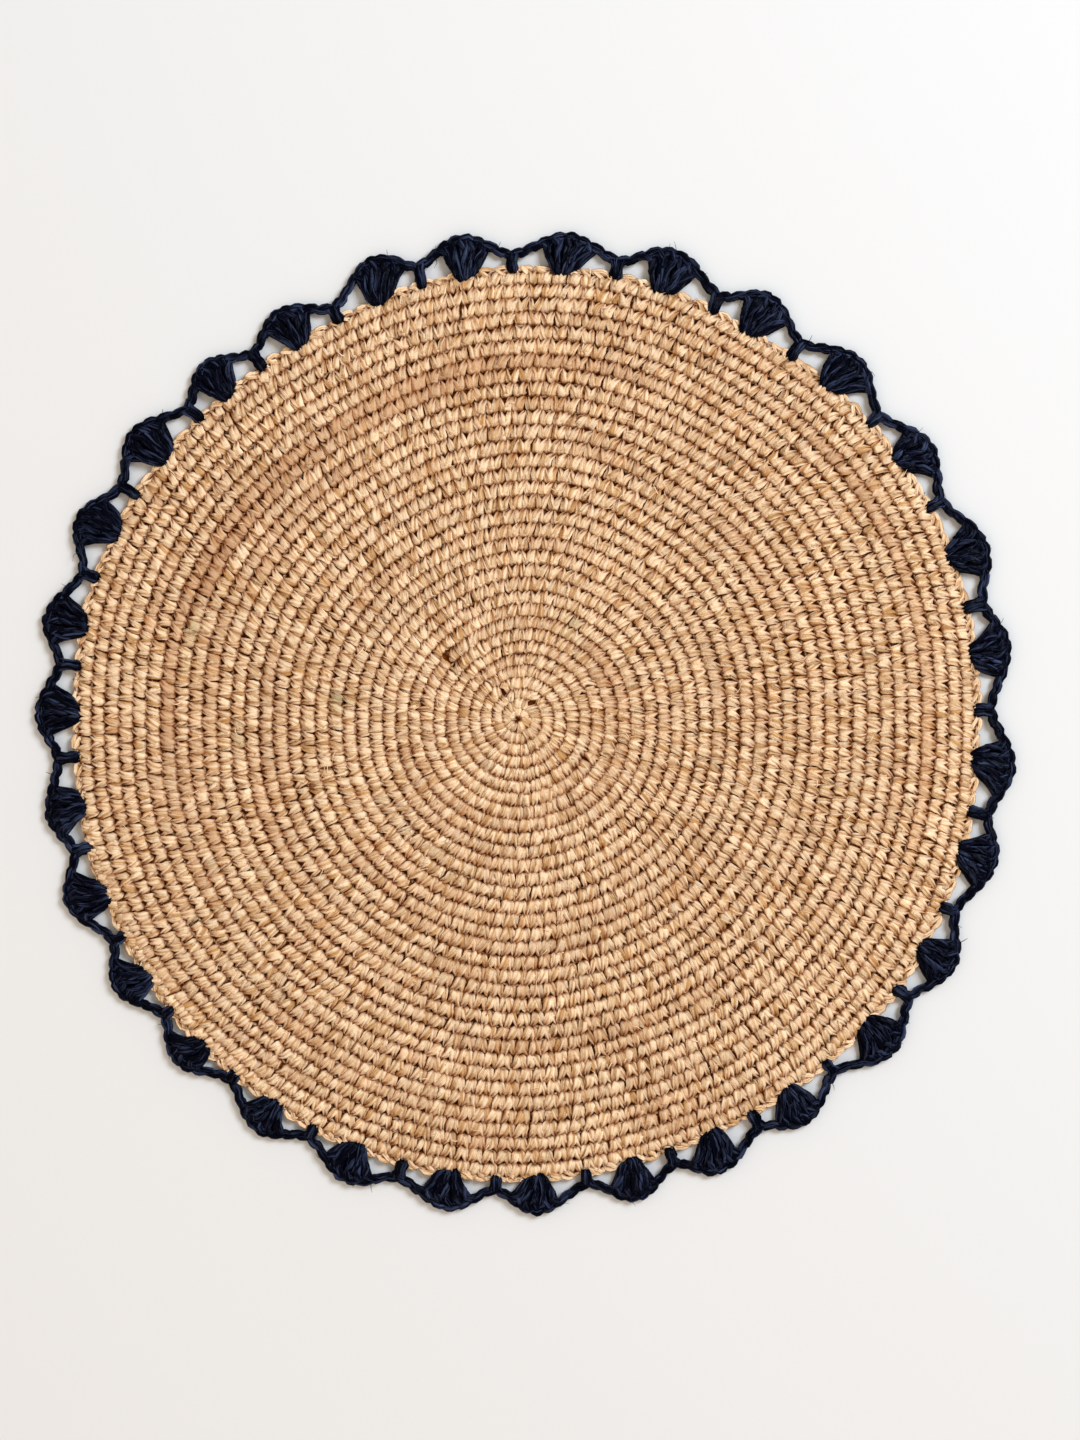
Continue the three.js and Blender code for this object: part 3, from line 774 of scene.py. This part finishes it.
# %% A bar under every stitch
BAR_ACROSS = np.array([-3.5, 0, 3.5])
BAR_OUT = np.array([-1.2, 0.25, 1.2])
BAR_HEIGHT = np.array([1.2, 0.75, 1.2])
BAR_WIDTH = np.array([1.8, 2.7, 1.8])
BAR_THICKNESS = 1.4
bar_across = BAR_ACROSS + chance.normal(0, 0.2, (stitches, 3))
bar_out = (BAR_OUT + chance.normal(0, 0.2, (stitches, 3))) * narrowed[:, None]
bars = lay_strands("stitch_backs", short, raised(beside(bar_across, bar_out), BAR_HEIGHT),
                   BAR_WIDTH * chance.normal(1, 0.1, (stitches, 1)), BAR_THICKNESS,
                   stitch_light, stitch_red, natural)

# %% [markdown]
# The chained rim
#
# The disc ends in a flat chain that lies along the tops of the last stitches. Two flat ribbons to each
# link cross over one another in a low zigzag. They are strands too, only wide and thin.

# %% Flat links along the rim
RIM_LINKS = 196
RIBBON_THICKNESS = 0.85
RIM_LIGHT, RIM_RED = 1.04, 0.03
link_angle = 360 / RIM_LINKS * (np.arange(RIM_LINKS) + chance.normal(0, 0.12, RIM_LINKS))


def rim_ribbon(across, inward, height, width):
    """Paths and widths of one ribbon of every link: millimetres clockwise along the rim, in and up."""
    shape = (RIM_LINKS, len(across))
    across = np.array(across) + chance.normal(0, 0.25, shape)
    inward = np.array(inward) + chance.normal(0, 0.16, shape) + chance.normal(0, 0.2, (RIM_LINKS, 1))
    angle = link_angle[:, None] - np.degrees(across / RIM_RADIUS)
    table = polar(angle, rim_radius(angle) - inward)
    height = np.array(height) + chance.normal(0, 0.08, shape)
    return raised(table, height), np.array(width) * chance.normal(1, 0.1, (RIM_LINKS, 1))


outer_paths, outer_widths = rim_ribbon(
    across=[-3.6, -2.4, -0.9, 0.9, 2.4, 3.6], inward=[2.5, 1.5, 0.9, 0.9, 1.4, 2.3],
    height=[2.0, 2.5, 2.8, 2.85, 2.6, 2.1], width=[0.9, 1.6, 1.9, 1.9, 1.6, 0.9])
inner_paths, inner_widths = rim_ribbon(
    across=[-2.6, -1.7, -0.7, 0.5, 1.6, 2.6], inward=[0.9, 1.4, 2.2, 3.0, 3.6, 4.1],
    height=[2.4, 3.1, 3.35, 3.3, 2.9, 2.2], width=[0.8, 1.5, 1.8, 1.8, 1.5, 0.9])
rim_light = RIM_LIGHT + chance.normal(0, 0.05, 2 * RIM_LINKS)
rim_chain = lay_strands("rim_chain", pleated, np.concatenate([outer_paths, inner_paths]),
                        np.concatenate([outer_widths, inner_widths]), RIBBON_THICKNESS,
                        rim_light, RIM_RED, natural)

# %% [markdown]
# The navy shells
#
# Thirty shells stand round the rim. Each is a fan of tall stitches from one foot, with a braided edge on
# top that runs on to the next shell and is held down between the two by one short stitch, the post. The
# table below has one row for each shell, counter-clockwise: where its post, foot and tip are, and how far
# out its edge lies at the post and at the tip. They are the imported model's own places, and only the dips
# are then drawn in a little more.

# %% Where the shells stand
SHELLS = np.array([
    # post, dip, foot, tip, reach
    (2.0, 182.1, 9.0, 9.8, 189.6), (15.0, 185.1, 21.6, 21.8, 191.7), (28.5, 184.9, 35.4, 35.0, 191.0),
    (41.5, 184.3, 48.4, 48.0, 192.2), (54.5, 184.7, 60.7, 60.5, 192.0), (66.0, 184.8, 72.8, 72.8, 193.3),
    (79.0, 185.9, 85.5, 85.2, 191.6), (92.0, 185.1, 97.9, 97.8, 191.7), (103.5, 185.3, 109.0, 108.2, 191.5),
    (115.0, 181.1, 120.7, 121.0, 188.2), (126.5, 181.9, 132.2, 132.0, 188.8),
    (137.0, 183.0, 143.4, 143.5, 191.6), (149.5, 185.3, 154.7, 155.2, 192.7),
    (161.0, 184.8, 167.3, 167.5, 192.2), (172.5, 185.3, 178.3, 178.5, 190.7),
    (184.0, 184.8, 190.1, 190.8, 189.6), (195.5, 184.8, 201.7, 201.0, 192.0),
    (207.5, 183.4, 213.2, 212.5, 190.1), (218.5, 182.7, 224.4, 223.5, 189.1),
    (230.0, 181.6, 236.0, 236.2, 189.4), (242.0, 183.1, 247.8, 248.2, 190.7),
    (254.0, 184.6, 259.9, 260.5, 190.1), (266.0, 182.9, 271.1, 271.0, 189.4),
    (277.5, 181.4, 283.2, 283.2, 188.9), (288.5, 181.5, 294.2, 293.5, 189.1),
    (300.0, 182.3, 305.4, 305.2, 188.6), (311.5, 181.8, 318.7, 318.5, 190.5),
    (324.5, 184.4, 330.5, 330.5, 190.6), (336.5, 183.1, 343.7, 343.8, 189.5),
    (349.0, 184.1, 355.5, 355.0, 189.4)])
post, dip, foot, tip, reach = SHELLS.T
next_post = np.append(post[1:], post[0] + 360)
next_dip = np.roll(dip, -1)
BRAID_WIDTH = 4.0
SWING_POWER = 0.85  # below 1 the edge has narrower dips and broader tips than a plain wave
DRAWN_IN = 0.9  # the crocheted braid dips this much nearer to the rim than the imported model's


def edge_radius(angle):
    """Radius of the border's outer edge, which swings out from each post to the tip of its shell."""
    place = np.mod(angle - post[0], 360) + post[0]
    shell = np.searchsorted(post, place, "right") - 1
    rising = place < tip[shell]
    share = np.where(rising, (place - post[shell]) / (tip - post)[shell],
                     (next_post[shell] - place) / (next_post - tip)[shell])
    swing = ((1 - np.cos(np.pi * share)) / 2) ** SWING_POWER
    low = np.where(rising, dip[shell], next_dip[shell]) - DRAWN_IN
    return low + (reach[shell] - low) * swing


def in_border(middle, across, out, to_edge):
    """Points on the table: across from a stitch's middle, out from the rim, then part of the way out."""
    angle = middle - np.degrees(across / RIM_RADIUS)
    inner = rim_radius(angle) + out
    outer = edge_radius(angle) - BRAID_WIDTH / 2
    return polar(angle, inner + (outer - inner) * to_edge)


print("shells", len(SHELLS))

# %% One strand of every fan
FAN_OUT = np.array([-3.9, -1.6, 1.0, 0.7, 0.7, 0.7])
FAN_TO_EDGE = np.array([0, 0, 0, 0.36, 0.72, 1.02])
FAN_LEFT = np.array([2.6, 4.4, 5.4, 6.8, 8.2, 9.0])
FAN_RIGHT = np.array([1.8, 4.2, 5.6, 6.9, 8.2, 8.9])
FAN_HEIGHT = np.array([3.3, 4.1, 3.7, 3.3, 3.0, 2.3])
FOOT_SKEW = 1.5  # how much further out a fan's foot starts at its right side
END_LIFT = 0.35  # share of a strand's lift that is left at its ends
fan_paths, fan_widths, fan_heights = [], [], []


def fan_strand(spread, levels, slant, lift, width, thickness):
    """The same strand of every fan, between two levels: 0 is the foot and 5 the edge.

    Spread is how far from the fan's middle it stands, from -1 at the left to 1 at the right, and slant is
    how much that changes from its start to its end.
    """
    count = len(SHELLS)
    level = levels[0] + (levels[1] - levels[0]) * np.linspace(0, 1, 6)
    level = np.clip(level + chance.normal(0, 0.12, (count, 1)), 0, 5)
    out, to_edge, left, right, height = (
        np.interp(level, np.arange(6), row)
        for row in (FAN_OUT, FAN_TO_EDGE, FAN_LEFT, FAN_RIGHT, FAN_HEIGHT))
    aside = spread + slant * np.linspace(-0.5, 0.5, 6) + chance.normal(0, 0.035, (count, 1))
    aside = aside + chance.normal(0, 0.02, (count, 6))
    fan_width = ((next_post - post) / (360 / count))[:, None]
    across = np.where(aside < 0, aside * left, aside * right) * fan_width
    skew = FOOT_SKEW * np.clip(aside, 0, 1) * np.clip(1 - level, 0, 1)
    middle = foot[:, None] + (tip - foot)[:, None] * to_edge
    arch = np.sin(np.pi * np.linspace(0, 1, 6))
    height = height + lift * (END_LIFT + (1 - END_LIFT) * arch)
    fan_paths.append(raised(in_border(middle, across, out + skew, to_edge), height))
    fan_widths.append(np.array(width) * chance.normal(1, 0.08, (count, 1)))
    fan_heights.append(np.array(thickness) * np.ones((count, 6)))


print("millimetres from a fan's middle to its left side, at each level", FAN_LEFT)

# %% Fans of tall stitches
NAVY_MOTTLE = 0.16  # how much the light of the navy strands differs
TALL_STITCHES, OUTERMOST = 5, 0.86
for spread in np.linspace(-OUTERMOST, OUTERMOST, TALL_STITCHES):
    fan_strand(spread, levels=(0, 5), slant=0, lift=0,
               width=[1.5, 2.3, 2.7, 3.0, 3.2, 2.7], thickness=[1.6, 2.3, 2.7, 2.6, 2.3, 1.5])
    fan_strand(spread + 0.2, levels=(0.5, 5), slant=0.05, lift=-1.3,
               width=[1.6, 2.2, 2.5, 2.9, 3.2, 2.7], thickness=1.6)
    fan_strand(spread + 0.05, levels=(2.2, 4.3), slant=0.4, lift=0.8,
               width=[0.9, 1.9, 2.6, 2.6, 1.9, 0.9], thickness=1.5)
    fan_strand(spread - 0.02, levels=(3.6, 5), slant=-0.26, lift=0.8,
               width=[0.9, 1.8, 2.4, 2.4, 1.8, 0.9], thickness=1.5)
for spread in (-0.55, 0.1, 0.6):  # short strands over the foot
    fan_strand(spread, levels=(0, 2.4), slant=0.25, lift=0.6,
               width=[1.3, 2.2, 2.6, 2.5, 2.0, 0.9], thickness=1.5)
fan_paths, fan_widths, fan_heights = map(np.concatenate, (fan_paths, fan_widths, fan_heights))
fan_light = 1 + chance.normal(0, NAVY_MOTTLE, len(fan_paths))
fans = lay_strands("border_fans", pleated, fan_paths, fan_widths, fan_heights, fan_light, 0, navy,
                   uneven=0.08)

# %% Posts between the shells
POST_OUT = np.array([-2.9, -1.2, 0.7, 0.7, 0.7, 0.7])
POST_TO_EDGE = np.array([0, 0, 0, 0.35, 0.75, 1.1])
POST_SPREAD = np.array([0.7, 1.1, 1.2, 1.3, 1.7, 2.4])
POST_HEIGHT = np.array([3.0, 3.7, 3.5, 3.1, 2.7, 2.2])
POST_WIDTH = np.array([1.0, 1.3, 1.15, 1, 1.1, 1])
POST_THICKNESS = 1.7
post_paths, post_widths = [], []
for spread, lift, width in ((-0.8, 0, 2.4), (0.8, 0.15, 2.4), (0.1, 0.8, 2.1), (0, -1.0, 3.0)):
    across = spread * POST_SPREAD + chance.normal(0, 0.2, (len(SHELLS), 6))
    table = in_border(post[:, None], across, POST_OUT, POST_TO_EDGE)
    post_paths.append(raised(table, POST_HEIGHT + lift))
    post_widths.append(width * POST_WIDTH * chance.normal(1, 0.1, (len(SHELLS), 1)))
post_paths, post_widths = map(np.concatenate, (post_paths, post_widths))
post_light = 1 + chance.normal(0, NAVY_MOTTLE, len(post_paths))
posts = lay_strands("border_posts", pleated, post_paths, post_widths, POST_THICKNESS, post_light, 0, navy)

# %% The braided edge
LINKS = 8
BRAID_MOTTLE = 0.18
braid_start = np.concatenate([start + (end - start) * np.arange(LINKS) / LINKS
                              for start, end in zip(post, next_post)])
braid_step = np.repeat((next_post - post) / LINKS, LINKS)


def braid_strand(along, across, height, width, thickness):
    """The same strand of every link: where its six points are, in links along the braid, across and up."""
    count = len(braid_start)
    along = np.array(along) + chance.normal(0, 0.05, (count, 6))
    angle = braid_start[:, None] + braid_step[:, None] * along
    across = np.array(across) + chance.normal(0, 0.1, (count, 6))
    table = polar(angle, edge_radius(angle) - BRAID_WIDTH / 2 + across)
    paths = raised(table, np.array(height) + chance.normal(0, 0.08, (count, 1)))
    return paths, np.array(width) * chance.normal(1, 0.08, (count, 1)), np.full((count, 6), thickness)


LEAF = [0.8, 1.7, 2.2, 2.2, 1.7, 0.9]
braid_parts = [
    braid_strand(along=[-0.15, 0.1, 0.4, 0.75, 1.1, 1.4], across=[-0.1, 0.7, 1.15, 1.05, 0.6, 0.0],
                 height=[1.6, 2.3, 2.6, 2.6, 2.3, 1.6], width=LEAF, thickness=1.5),
    braid_strand(along=[0.3, 0.55, 0.85, 1.2, 1.55, 1.85], across=[0.2, -0.6, -1.1, -1.1, -0.6, 0.1],
                 height=[1.8, 2.5, 2.9, 2.8, 2.4, 1.7], width=LEAF, thickness=1.5),
    braid_strand(along=[-0.2, 0.1, 0.4, 0.7, 1.0, 1.3], across=[-0.3, -0.1, 0.1, 0.1, -0.1, -0.3],
                 height=[1.0] * 6, width=[2.4, 2.8, 3.0, 3.0, 2.8, 2.4], thickness=1.7)]
braid_paths, braid_widths, braid_heights = map(np.concatenate, zip(*braid_parts))
braid_light = 1 + chance.normal(0, BRAID_MOTTLE, len(braid_paths))
braid = lay_strands("border_braid", pleated, braid_paths, braid_widths, braid_heights, braid_light, 0, navy,
                    uneven=0.05)

# %% [markdown]
# Loose fibres
#
# Dried leaf splits, and hairs of it stand up from among the strands all over the mat, so that its surface
# and its edge look a little fuzzy. The plainest strand, drawn very thin, does for them.

# %% Hair-thin split ends
FIBRE_STEPS = np.array([0, 0.33, 0.67, 1])
FIBRE_FLATNESS = 0.6
# share of the painted side shade that a fibre gets
FIBRE_SHADING = 0.2


def loose_fibres(name, start, heading, length, low, high, width, light, finish):
    """Hair-thin split fibres. Each comes up from among the strands and curls away over them."""
    count = len(start)
    turn = np.radians(heading)[:, None] + chance.normal(0, 0.7, (count, 1)) * FIBRE_STEPS
    onward = np.stack([np.cos(turn), np.sin(turn)], -1) * (length[:, None] * FIBRE_STEPS)[..., None]
    height = low + (high - low) * np.array([0, 0.85, 1, 0.8]) * chance.uniform(0.8, 1, (count, 1))
    thin = width * np.array([1, 1, 0.8, 0.4]) * chance.uniform(0.7, 1.3, (count, 1))
    return lay_strands(name, plain, raised(start[:, None] + onward, height), thin, FIBRE_FLATNESS * thin,
                       light, 0, finish, uneven=0.05, shading=FIBRE_SHADING)


NATURAL_FIBRES, NAVY_FIBRES = 260, 80
fibre_turn = ROUNDS * np.sqrt(chance.uniform(0.01, 0.97, NATURAL_FIBRES))
natural_fibres = loose_fibres(
    "natural_fibres", start=on_spiral(fibre_turn, 0), heading=chance.uniform(0, 360, NATURAL_FIBRES),
    length=chance.uniform(2, 6, NATURAL_FIBRES), low=3.9, high=5.6, width=0.3, light=1.1, finish=natural)
fibre_angle = chance.uniform(0, 360, NAVY_FIBRES)
navy_fibres = loose_fibres(
    "navy_fibres", start=polar(fibre_angle, edge_radius(fibre_angle) - BRAID_WIDTH / 2),
    heading=fibre_angle + chance.normal(0, 60, NAVY_FIBRES),
    length=chance.uniform(1.5, 5, NAVY_FIBRES), low=2.4, high=3.8, width=0.25, light=1.2, finish=navy)
for piece in (fans, posts, braid, navy_fibres):
    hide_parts("border")

# %% [markdown]
# The table
#
# A plain pale top, wide enough for every view.

# %% Pale floor
FLOOR_REACH = 3.0  # metres, from the middle to each side
floor_form = bmesh.new()
bmesh.ops.create_grid(floor_form, x_segments=1, y_segments=1, size=FLOOR_REACH)
floor_mesh = bpy.data.meshes.new("floor")
floor_form.to_mesh(floor_mesh)
floor_form.free()
table_top = Finish("pale_table")
table_top.set(Base_Color=(0.75, 0.74, 0.73, 1), Roughness=0.7)
floor_mesh.materials.append(table_top.material)
floor = bpy.data.objects.new("floor", floor_mesh)
bpy.context.scene.collection.objects.link(floor)
print("floor corners", numbers(floor_mesh.vertices, "co", 3)[:, :2].tolist())
